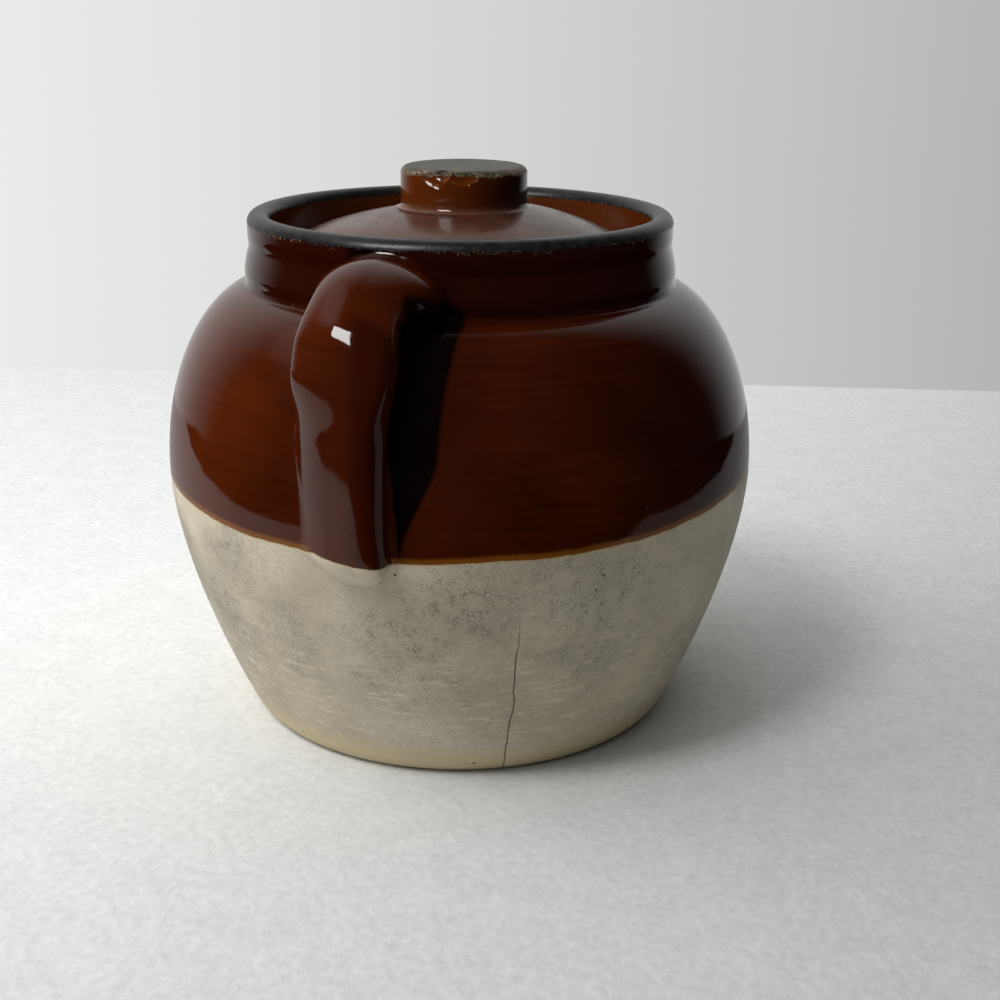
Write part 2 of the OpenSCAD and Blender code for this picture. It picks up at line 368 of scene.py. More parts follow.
def strapCrest():
    slant = math.radians(strap["slant"])
    root = (pot["neck"] - strap["rootSunk"], strap["rootHeight"])
    gripTop = (strap["reach"], strap["gripTop"])
    arch = bezierPoints(
        root,
        (root[0] + strap["archOut"] * math.cos(slant), root[1] + strap["archOut"] * math.sin(slant)),
        (gripTop[0], gripTop[1] + strap["archUp"]), gripTop, 48)
    grip = [
        (gripTop[0] - strap["gripLean"] * (i / 30) ** 2, mix(gripTop[1], strap["gripEnd"], i / 30))
        for i in range(1, 30)
    ]
    turned = math.atan(2 * strap["gripLean"] / (gripTop[1] - strap["gripEnd"]))
    centre = (
        strap["reach"] - strap["gripLean"] - strap["curl"] * math.cos(turned),
        strap["gripEnd"] + strap["curl"] * math.sin(turned))
    curl = arcPoints(
        centre, strap["curl"], strap["curl"], -math.degrees(turned), -strap["curlTurn"], 18)
    return arch + grip + curl


def alongStrap(stations, share):
    for (first, a), (last, b) in zip(stations, stations[1:]):
        if share <= last:
            return mix(a, b, easing(share, first, last))
    return stations[-1][1]


def sectionPoint(turn):
    # round on the left and squarish on the right, with a crowned outer face, 1 wide and 1 thick
    fullness = strap["fullness"][math.cos(turn) > 0]
    across = math.copysign(abs(math.cos(turn)) ** (2 / fullness), math.cos(turn))
    deep = math.copysign(abs(math.sin(turn)) ** (2 / fullness), math.sin(turn))
    fall = strap["crown"] * abs(across) ** 1.5 * max(deep, 0)
    return across / 2, deep / 2 - fall


def strapRings():
    crest = strapCrest()
    count = len(crest)
    lengths = [0]
    for here, there in zip(crest, crest[1:]):
        lengths.append(lengths[-1] + math.dist(here, there))
    rings = []
    for i, (out, up) in enumerate(crest):
        before, after = crest[max(i - 1, 0)], crest[min(i + 1, count - 1)]
        slope = math.atan2(before[1] - after[1], after[0] - before[0])
        lean = slope * min(i / 14, 1)
        share = lengths[i] / lengths[-1]
        thick = alongStrap(strap["thicknesses"], share)
        ending = easing(share, 0.9, 1.0)
        width = alongStrap(strap["widths"], share) * math.sqrt(1 - 0.6 * ending ** 3)
        twist = math.radians(alongStrap(strap["twists"], share))
        # a twisted section is set back so that its corner keeps to the crest
        power = strap["fullness"][1] / (strap["fullness"][1] - 1)
        corner = (width / 2 * abs(math.sin(twist))) ** power + (thick / 2 * math.cos(twist)) ** power
        deep = corner ** (1 / power) - strap["setBack"]
        rings.append({
            "middle": Vector((
                alongStrap(strap["shifts"], share),
                -(out - math.sin(lean) * deep), up - math.cos(lean) * deep)),
            "lean": lean,
            "twist": twist,
            "width": width,
            "thick": thick,
        })
    return rings


def turnRing(axis, angle, centre):
    bpy.ops.transform.rotate(value=angle, orient_axis=axis, center_override=centre)


def pullStrap():
    rings = strapRings()
    first = rings[0]
    section = []
    for k in range(strap["sectionPoints"]):
        across, deep = sectionPoint(fullTurn * k / strap["sectionPoints"])
        section.append((
            across * first["width"], first["middle"].y, first["middle"].z + deep * first["thick"]))
    piece = startLine("strapHandle", section[0])
    drawLine(section)
    bpy.ops.mesh.select_all(action="SELECT")
    bpy.ops.mesh.edge_face_add()
    for here, there in zip(rings, rings[1:]):
        step = (there["middle"] - here["middle"]) * mm
        bpy.ops.mesh.extrude_region_move(TRANSFORM_OT_translate={"value": step})
        centre = there["middle"] * mm
        # the ring is set upright and untwisted, sized, and then twisted and leaned anew
        turnRing("X", here["lean"], centre)
        turnRing("Y", -here["twist"], centre)
        wider, thicker = there["width"] / here["width"], there["thick"] / here["thick"]
        bpy.ops.transform.resize(value=(wider, 1, thicker), center_override=centre)
        turnRing("Y", there["twist"], centre)
        turnRing("X", -there["lean"], centre)
    bpy.ops.mesh.select_all(action="SELECT")
    bpy.ops.mesh.normals_make_consistent(inside=False)
    bpy.ops.object.mode_set(mode="OBJECT")
    return piece


def sliceOff(piece, place, normal):
    # what lies beyond the plane goes
    pick(piece)
    bpy.ops.object.mode_set(mode="EDIT")
    bpy.ops.mesh.select_all(action="SELECT")
    bpy.ops.mesh.bisect(
        plane_co=[c * mm for c in place], plane_no=normal, use_fill=True, clear_outer=True)
    bpy.ops.object.mode_set(mode="OBJECT")


def makeHandle():
    piece = pullStrap()
    bow = piece.vertex_groups.new(name="bow")
    for vertex in piece.data.vertices:
        aside = min((vertex.co.x / mm / strap["bowSide"]) ** 2, 1)
        bow.add([vertex.index], aside * easing(vertex.co.z / mm, *strap["bowUp"]), "REPLACE")
    applyModifier(
        piece, "DISPLACE", direction="Z", strength=-strap["bow"] * mm, mid_level=0, vertex_group="bow")
    patch = solidWall("wallPatch", 0)
    side = alongStrap(strap["widths"], 0) / 2 + strap["patchSide"]
    sliceOff(patch, (side, 0, 0), (1, 0, 0))
    sliceOff(patch, (-side, 0, 0), (-1, 0, 0))
    sliceOff(patch, (0, strap["patchBack"], 0), (0, 1, 0))
    sliceOff(patch, (0, 0, strap["patchLow"]), (0, 0, -1))
    pick(piece)
    patch.select_set(True)
    bpy.ops.object.join()
    applyModifier(piece, "REMESH", mode="VOXEL", voxel_size=strap["clay"] * mm)
    outside = potOutside()

    def nearJoint(co):
        gap = co.xy.length / mm - wallRadius(co.z / mm, outside)
        onRoot = abs(co.x) / mm < side - 5 and co.z / mm > strap["crispBelow"]
        return gap < strap["jointReach"] and onRoot

    selectVertices(piece, nearJoint)
    bpy.ops.mesh.vertices_smooth(factor=0.5, repeat=strap["jointSmoothing"])
    bpy.ops.mesh.select_all(action="SELECT")
    bpy.ops.mesh.vertices_smooth(factor=0.5, repeat=strap["smoothing"])
    bpy.ops.object.mode_set(mode="OBJECT")
    cutWith(piece, solidWall("wallSkin", strap["sink"]))
    smoothShade(piece, 60)
    return piece


# the lid and its knob, with their lengths in mm
lid = {
    "radius": lidHigh.x / mm,
    "seat": lidLow.z / mm,
    "edge": 5.7,
    "dome": 100,
    "wall": 6,
    "ring": 8,
    "sag": 1.1,               # how much lower its crown is left of the knob than right
    "segments": 160,
}
knob = {
    "radius": 17.4,
    "top": knobHigh.z / mm,
    "flare": 1.5,             # radius of the clay worked into the joint
    "round": 2.2,
    "offCentre": (0.8, 0.25),
    "handling": 0.14,         # depth of the dents left by the fingers
    "handlingSize": 7,
    "segments": 144,
    "chipRoughness": 1.3,
    "chipGrain": 2.4,
    "wornEdge": 0.16,
    # chips knocked off the edge before glazing: place round the knob and tilt in degrees, how
    # deep and how far down it goes and how wide it is
    "chips": (
        {"turn": -8, "deep": 1.0, "down": 5.0, "wide": 17, "tilt": 5},
        {"turn": 16, "deep": 1.2, "down": 4.6, "wide": 12, "tilt": 17},
        {"turn": -1, "deep": 2.1, "down": 3.2, "wide": 6, "tilt": -14},
        {"turn": 44, "deep": 0.8, "down": 2.6, "wide": 11, "tilt": 10},
        {"turn": 118, "deep": 0.9, "down": 2.4, "wide": 8, "tilt": 8},
    ),
}


def domeHeight(out):
    centre = lid["seat"] + lid["edge"] - math.sqrt(lid["dome"] ** 2 - lid["radius"] ** 2)
    return centre + math.sqrt(lid["dome"] ** 2 - out ** 2)


def makeLid():
    rise = math.sqrt(lid["dome"] ** 2 - lid["radius"] ** 2)
    centre = (0, lid["seat"] + lid["edge"] - rise)
    hollow = lid["dome"] - lid["wall"]
    ringInside = lid["radius"] - lid["ring"]
    hollowEnd = math.degrees(math.acos((ringInside - 2) / hollow))
    domeStart = math.degrees(math.acos((lid["radius"] - 1) / lid["dome"]))
    outline = arcPoints(centre, hollow, hollow, 90, hollowEnd, 20)
    outline += [(ringInside, lid["seat"])]
    outline += [(ringInside + share * lid["ring"], lid["seat"]) for share in (0.3, 0.6)]
    outline += arcPoints((lid["radius"] - 1, lid["seat"] + 1), 1, 1, -90, 0, 4)
    outline += arcPoints((lid["radius"] - 2, lid["seat"] + lid["edge"] - 2), 2, 2, 0, 50, 6)
    outline += arcPoints(centre, lid["dome"], lid["dome"], domeStart, 90, 34, 1)
    outline[0] = (0, outline[0][1])
    outline[-1] = (0, outline[-1][1])
    piece = throwOnWheel("lidDisc", outline, lid["segments"])
    # the crown sagged a little on one side as it dried
    selectVertices(piece, lambda co: co.z > (domeHeight(lid["radius"]) + 1) * mm)
    bpy.ops.object.mode_set(mode="OBJECT")
    crown = piece.vertex_groups.new(name="crown")
    for vertex in piece.data.vertices:
        if vertex.select and vertex.normal.z > 0.2:
            near = 1 - easing(vertex.co.xy.length / mm, 18, 42)
            crown.add([vertex.index], near * (0.5 - vertex.co.x / mm / 42), "REPLACE")
    applyModifier(
        piece, "DISPLACE", direction="Z", strength=-lid["sag"] * mm, mid_level=0,
        vertex_group="crown")
    smoothShade(piece, 50)
    return piece


def chipTool(turn, deep, down, wide, tilt):
    # a lump as a knock would take out, standing against the knob's edge
    angle = math.radians(turn)
    thick = deep * 2.2
    away = knob["radius"] + thick - deep
    deselectAll()
    bpy.ops.mesh.primitive_uv_sphere_add(segments=40, ring_count=24, radius=1)
    tool = bpy.context.object
    share = math.sqrt(1 - (1 - deep / thick) ** 2)
    tool.scale = (wide / 2 / share * mm, thick * mm, down / share * mm)
    tool.rotation_euler = (0, math.radians(tilt), angle)
    tool.location = (
        away * math.sin(angle) * mm, -away * math.cos(angle) * mm, (knob["top"] + 0.3) * mm)
    bpy.ops.object.transform_apply(location=True, rotation=True, scale=True)
    applyModifier(
        tool, "DISPLACE", texture=cloudField("brokenClay", knob["chipGrain"]), texture_coords="LOCAL",
        strength=knob["chipRoughness"] * mm, mid_level=0.5)
    return tool


def makeKnob():
    sunk = knobLow.z / mm
    flareEnd = knob["radius"] + knob["flare"]
    joint = domeHeight(flareEnd) - 0.15
    outline = [(0, sunk), (8, sunk), (14, sunk), (flareEnd - 0.6, joint - 1)]
    outline += arcPoints(
        (flareEnd, joint + knob["flare"]), knob["flare"], knob["flare"], -105, -180, 9)
    wallTop = knob["top"] - knob["round"]
    wallLow = outline[-1][1]
    outline += [(knob["radius"], mix(wallLow, wallTop, i / 8)) for i in range(1, 8)]
    outline += arcPoints(
        (knob["radius"] - knob["round"], wallTop), knob["round"], knob["round"], 0, 90, 12)
    outline += [(share * knob["radius"], knob["top"]) for share in (0.75, 0.6, 0.45, 0.3, 0.15, 0)]
    piece = throwOnWheel("lidKnob", outline, knob["segments"])
    applyModifier(
        piece, "DISPLACE", texture=cloudField("handling", knob["handlingSize"]),
        texture_coords="LOCAL", strength=knob["handling"] * mm, mid_level=1.0)
    for chip in knob["chips"]:
        cutWith(piece, chipTool(**chip))
    applyModifier(
        piece, "BEVEL", width=knob["wornEdge"] * mm, segments=2, limit_method="ANGLE",
        angle_limit=math.radians(24))
    pick(piece)
    piece.location = [c * mm for c in knob["offCentre"]] + [0]
    bpy.ops.object.transform_apply(location=True)
    smoothShade(piece, 40)
    return piece


potBody = makePot()
strapHandle = makeHandle()
lidDisc = makeLid()
lidKnob = makeKnob()
made = (potBody, strapHandle, lidDisc, lidKnob)
print("pieces made:", [(piece.name, len(piece.data.polygons)) for piece in made])


def linear(code):
    # an sRGB hex value as linear light
    channels = []
    for i in (1, 3, 5):
        value = int(code[i:i + 2], 16) / 255
        channels.append(value / 12.92 if value <= 0.04045 else ((value + 0.055) / 1.055) ** 2.4)
    return (*channels, 1)


def addNode(tree, kind, inputs=(), **settings):
    # a node with its settings: its inputs are listed in order or by socket, and each is a value,
    # or the node or socket that feeds it
    node = tree.nodes.new("ShaderNode" + kind)
    for setting, value in settings.items():
        setattr(node, setting, value)
    sockets = inputs if isinstance(inputs, dict) else dict(enumerate(inputs))
    for socket, value in sockets.items():
        if isinstance(value, bpy.types.Node):
            value = next(out for out in value.outputs if out.enabled)
        if isinstance(value, bpy.types.NodeSocket):
            tree.links.new(value, node.inputs[socket])
        else:
            node.inputs[socket].default_value = value
    return node


def newMaterial(name):
    material = bpy.data.materials.new(name)
    material.use_nodes = True
    material.node_tree.nodes.clear()
    return material, material.node_tree


def perMm(size):
    # a noise scale for features of that size in mm, on coordinates in metres
    return 1 / (size * mm)


# iron slip glaze, dipped and fired to a glassy red brown, IOR 1.5, nearly mirror smooth: the
# eye gets deep warm brown, redder and darker where the coat is thick, under sharp reflections
slip = {
    # warm and deep also serve as the lit and shaded ends of a painted shade, warmer on the left and
    # darker on the right
    "warm": "#4b1b04",
    "deep": "#240602",
    # neck is also the colour of the painted shade along the strap's right side
    "neck": "#240502",
    "amber": "#744312",
    "patch": 38,          # size of the warm and deep patches, mm
    "wheelLines": 1.1,    # spacing of the faint lines left by the wheel, mm
    "smooth": 0.06,
    "smeared": 0.17,
    "peel": 4.0,          # wavelength of its faint orange peel, mm
    "peelHeight": 0.007,  # mm
    "dust": "#8a7664",
    # painted shade on the strap's right side, away from the light:
    "shadedSide": (-18, -12),   # where the strap darkens towards its right side, mm
    "shadeShare": 0.65,
}
# painted shadow: behind the handle and round its root the glaze is painted nearly black, where the
# handle shades it; lengths in mm
paintedShadow = {
    "colour": "#050100",
    "low": (68, 12),      # height and how far to the right it reaches there
    "high": (94, 20),
    "edge": 0.8,
    "wallLeft": (-11, -8),
    "wallBack": (-56, -52),
    "strapLeft": (-4.8, -3.4),
    "strapFront": (-88, -84),
    "top": (136.5, 139),
    "topSlant": 0.7,
    "share": 0.96,
}
# feldspar glaze over grey stoneware, satin, IOR 1.5: the eye gets a warm cream clouded with
# grey where dirt sits in its crazing, pale horizontal brush dabs, and tan at the foot
feldspar = {
    "pale": "#d2c6af",
    "dull": "#b8ac96",
    "streak": "#dbd0b9",
    "stain": "#918a7e",
    "line": "#4f4b42",
    "foot": "#d3c39c",
    "edge": "#b59a5c",
    "cell": 1.05,         # size of the crazing's cells, mm
    "lineWidth": 0.13,
    "streakLong": 7,
    "streakHigh": 1.5,
    "smooth": 0.32,
    "worn": 0.46,
}
# where the pot was dipped: the line was level in the bucket, so it leans on the pot
dip = {
    "height": 73.7,
    "leanX": 0.006,
    "leanY": -0.0709,
    "waves": 0.7,         # mm
    "amberHeight": 1.2,   # mm
    "handleRise": 1.0,    # how much higher the slip ends on the handle's foot, mm
    "offWall": (82.5, 84.5),  # how far from the axis the strap stands free, mm
}
# marks of firing and use on the cream: degrees round the pot from the handle, height in mm
crack = {"turn": 29.0, "top": 55, "width": 0.22, "wander": 1.3}
pits = (
    (80.9, 69.2), (-39.6, 7.5), (-25, 4.8), (7.4, 64.6), (4.7, 62.1), (21.7, 3.9), (42.8, 57.9),
    (44, 61.8))
flawColour = "#2b2620"


def slipColour(tree, point):
    # painted shade: warmer on the left, towards the light, and darker on the right, away from it
    side = addNode(tree, "VectorMath", [point, (0.83, 0.56, 0.0)], operation="DOT_PRODUCT")
    paintedShadingShare = addNode(tree, "MapRange", [side.outputs["Value"], -60 * mm, 55 * mm, 0.75, 0.15])
    patches = addNode(tree, "MapRange", [
        addNode(tree, "TexNoise", {"Vector": point, "Scale": perMm(slip["patch"]), "Detail": 3.0}),
        0.3, 0.7, -0.3, 0.3])
    tone = addNode(tree, "Mix", {
        0: addNode(tree, "Math", [paintedShadingShare, patches], operation="ADD"),
        6: linear(slip["deep"]), 7: linear(slip["warm"])}, data_type="RGBA")
    # the wheel's lines: noise scaled up along Z, so that it runs round the pot
    lines = addNode(tree, "MapRange", [
        addNode(tree, "TexNoise", {
            "Vector": addNode(
                tree, "Mapping", {"Vector": point, "Scale": (1, 1, 20 / slip["wheelLines"])}),
            "Scale": perMm(20), "Detail": 4.0}),
        0.3, 0.7, 0.86, 1.12])
    tone = addNode(
        tree, "Mix", {0: 1.0, 6: tone, 7: lines}, data_type="RGBA", blend_type="MULTIPLY")
    specks = addNode(tree, "TexVoronoi", {"Vector": point, "Scale": perMm(9)})
    speckShare = addNode(tree, "MapRange", [specks, 0.012, 0.022, 0.7, 0.0])
    return addNode(tree, "Mix", {0: speckShare, 6: tone, 7: linear(slip["dust"])}, data_type="RGBA")


def paintedShadowShare(tree, point, onHandle):
    # how much of the handle's painted shadow a point gets, on the wall or on the strap
    x, y, z = addNode(tree, "SeparateXYZ", [point]).outputs
    (low, near), (high, far) = paintedShadow["low"], paintedShadow["high"]
    reach = addNode(tree, "MapRange", [
        z, low * mm, high * mm, near * mm, far * mm], interpolation_type="SMOOTHSTEP")
    half = paintedShadow["edge"] * mm
    right = addNode(tree, "MapRange", [
        addNode(tree, "Math", [x, reach], operation="SUBTRACT"),
        -half, half, 1.0, 0.0], interpolation_type="SMOOTHSTEP")
    if onHandle:
        across = addNode(tree, "VectorMath", [point, (1, 0.2, 0)], operation="DOT_PRODUCT")
        start, full = paintedShadow["strapLeft"]
        left = addNode(tree, "MapRange", [
            across.outputs["Value"], start * mm, full * mm], interpolation_type="SMOOTHSTEP")
        start, full = paintedShadow["strapFront"]
        depth = addNode(tree, "MapRange", [y, start * mm, full * mm, 0.0, paintedShadow["share"]])
    else:
        start, full = paintedShadow["wallLeft"]
        left = addNode(tree, "MapRange", [x, start * mm, full * mm])
        full, end = paintedShadow["wallBack"]
        depth = addNode(tree, "MapRange", [y, full * mm, end * mm, paintedShadow["share"], 0.0])
    slanted = addNode(tree, "Math", [
        z,
        addNode(tree, "Math", [x, paintedShadow["topSlant"]], operation="MULTIPLY")], operation="ADD")
    full, end = paintedShadow["top"]
    below = addNode(tree, "MapRange", [slanted, full * mm, end * mm, 1.0, 0.0])
    share = addNode(tree, "Math", [
        addNode(tree, "Math", [left, right], operation="MULTIPLY"),
        depth], operation="MULTIPLY")
    return addNode(tree, "Math", [share, below], operation="MULTIPLY")


def slipRoughness(tree, point):
    return addNode(tree, "MapRange", [
        addNode(tree, "TexNoise", {"Vector": point, "Scale": perMm(16), "Detail": 5.0}),
        0.5, 0.8, slip["smooth"], slip["smeared"]])


def slipRelief(tree, point):
    # orange peel, in metres
    return addNode(tree, "MapRange", [
        addNode(tree, "TexNoise", {"Vector": point, "Scale": perMm(slip["peel"]), "Detail": 2.0}),
        0.0, 1.0, 0.0, slip["peelHeight"] * mm])


def finish(tree, colour, roughness, relief):
    bump = addNode(tree, "Bump", {"Height": relief, "Distance": 1.0, "Strength": 1.0})
    shader = addNode(tree, "BsdfPrincipled", {
        "Base Color": colour, "Roughness": roughness, "Normal": bump, "IOR": 1.5})
    addNode(tree, "OutputMaterial", {"Surface": shader})


def crazing(tree, point):
    # how dark the net of fine cracks is, 1 on a crack; it comes and goes
    cell = feldspar["cell"]
    drift = addNode(tree, "TexNoise", {
        "Vector": point, "Scale": perMm(cell * 1.2), "Detail": 2.0}).outputs["Color"]
    shift = addNode(tree, "VectorMath", [drift, (cell * mm * 0.9,) * 3], operation="MULTIPLY")
    bent = addNode(tree, "VectorMath", [point, shift], operation="ADD")
    net = addNode(
        tree, "TexVoronoi", {"Vector": bent, "Scale": perMm(cell)}, feature="DISTANCE_TO_EDGE")
    lines = addNode(tree, "MapRange", [net, 0.0, feldspar["lineWidth"] / cell, 1.0, 0.0])
    shown = addNode(tree, "MapRange", [
        addNode(tree, "TexNoise", {"Vector": point, "Scale": perMm(3.2), "Detail": 2.0}),
        0.4, 0.62])
    return addNode(tree, "Math", [lines, shown], operation="MULTIPLY")


def onPot(turn, up):
    radius = wallRadius(up, potOutside())
    angle = math.radians(turn)
    return Vector((radius * math.sin(angle), -radius * math.cos(angle), up)) * mm


def crackShare(tree, point, height):
    # a hairline down the wall: how far a point is from its wandering line
    angle = math.radians(crack["turn"])
    aside = addNode(tree, "VectorMath", [
        point, (math.cos(angle), math.sin(angle), 0.0)], operation="DOT_PRODUCT").outputs["Value"]
    infront = addNode(tree, "VectorMath", [
        point, (math.sin(angle), -math.cos(angle), 0.0)], operation="DOT_PRODUCT").outputs["Value"]
    onlyHeight = addNode(tree, "CombineXYZ", {"Z": height})
    wander = crack["wander"] * mm
    bends = addNode(tree, "MapRange", [
        addNode(tree, "TexNoise", {"Vector": onlyHeight, "Scale": perMm(17), "Detail": 6.0}),
        0.2, 0.8, -wander, wander])
    away = addNode(tree, "Math", [
        addNode(tree, "Math", [aside, bends], operation="ADD")], operation="ABSOLUTE")
    line = addNode(tree, "MapRange", [away, crack["width"] / 2 * mm, crack["width"] * mm, 1.0, 0.0])
    below = addNode(
        tree, "MapRange", [height, (crack["top"] - 14) * mm, crack["top"] * mm, 1.0, 0.0])
    front = addNode(tree, "MapRange", [infront, 0.0, 10 * mm])
    return addNode(tree, "Math", [
        addNode(tree, "Math", [line, below], operation="MULTIPLY"),
        front], operation="MULTIPLY")


def pitShare(tree, point):
    total = 0.0
    for turn, up in pits:
        away = addNode(tree, "VectorMath", [point, onPot(turn, up)], operation="DISTANCE")
        total = addNode(tree, "Math", [
            addNode(tree, "MapRange", [away.outputs["Value"], 0.25 * mm, 0.45 * mm, 1.0, 0.0]),
            total], operation="ADD")
    return total


def creamColour(tree, point, height, fine):
    clouds = addNode(tree, "TexNoise", {"Vector": point, "Scale": perMm(22), "Detail": 4.0})
    cream = addNode(tree, "Mix", {
        0: addNode(tree, "MapRange", [clouds, 0.35, 0.65]),
        6: linear(feldspar["dull"]), 7: linear(feldspar["pale"])}, data_type="RGBA")
    # dirt in the crazing greys the upper half of the band in places
    dirty = addNode(tree, "MapRange", [
        addNode(tree, "TexNoise", {"Vector": point, "Scale": perMm(30), "Detail": 4.0}),
        0.42, 0.62])
    high = addNode(tree, "MapRange", [height, 18 * mm, 42 * mm, 0.25, 1.0])
    stain = addNode(tree, "Math", [dirty, high], operation="MULTIPLY")
    cream = addNode(tree, "Mix", {
        0: addNode(tree, "Math", [stain, 0.4], operation="MULTIPLY"),
        6: cream, 7: linear(feldspar["stain"])}, data_type="RGBA")
    # brush dabs, longer round the pot than they are high
    dabs = addNode(tree, "TexNoise", {
        "Vector": addNode(tree, "Mapping", {
            "Vector": point, "Scale": (1, 1, feldspar["streakLong"] / feldspar["streakHigh"])}),
        "Scale": perMm(feldspar["streakLong"]), "Detail": 3.0})
    dabShare = addNode(tree, "Math", [
        addNode(tree, "MapRange", [dabs, 0.52, 0.68, 0.0, 0.7]),
        addNode(tree, "MapRange", [height, 50 * mm, 30 * mm])], operation="MULTIPLY")
    cream = addNode(
        tree, "Mix", {0: dabShare, 6: cream, 7: linear(feldspar["streak"])}, data_type="RGBA")
    grain = addNode(tree, "MapRange", [
        addNode(tree, "TexNoise", {"Vector": point, "Scale": perMm(0.9), "Detail": 3.0}),
        0.3, 0.7, 0.9, 1.08])
    cream = addNode(
        tree, "Mix", {0: 1.0, 6: cream, 7: grain}, data_type="RGBA", blend_type="MULTIPLY")
    lines = addNode(tree, "Math", [
        crazing(tree, point),
        addNode(tree, "MapRange", [stain, 0.0, 1.0, 0.12, 0.75])], operation="MULTIPLY")
    cream = addNode(
        tree, "Mix", {0: lines, 6: cream, 7: linear(feldspar["line"])}, data_type="RGBA")
    footLine = addNode(tree, "Math", [height, fine], operation="ADD")
    footShare = addNode(tree, "MapRange", [footLine, 5.0 * mm, 11 * mm, 0.9, 0.0])
    cream = addNode(
        tree, "Mix", {0: footShare, 6: cream, 7: linear(feldspar["foot"])}, data_type="RGBA")
    flaws = addNode(
        tree, "Math", [crackShare(tree, point, height), pitShare(tree, point)], operation="MAXIMUM")
    return addNode(tree, "Mix", {
        0: addNode(tree, "Math", [flaws, 0.8], operation="MULTIPLY"),
        6: cream, 7: linear(flawColour)}, data_type="RGBA"), flaws


# the rim was wiped bare of slip and fired to a dark grey satin, IOR 1.5; pale grit shows
# where the coat breaks off
rimSkin = {
    "grey": "#0f0e0d",
    "light": "#292724",
    "grit": "#85705c",
    "wiped": 2.6,         # how far down from the top it is wiped, mm
    "rough": 0.36,
}


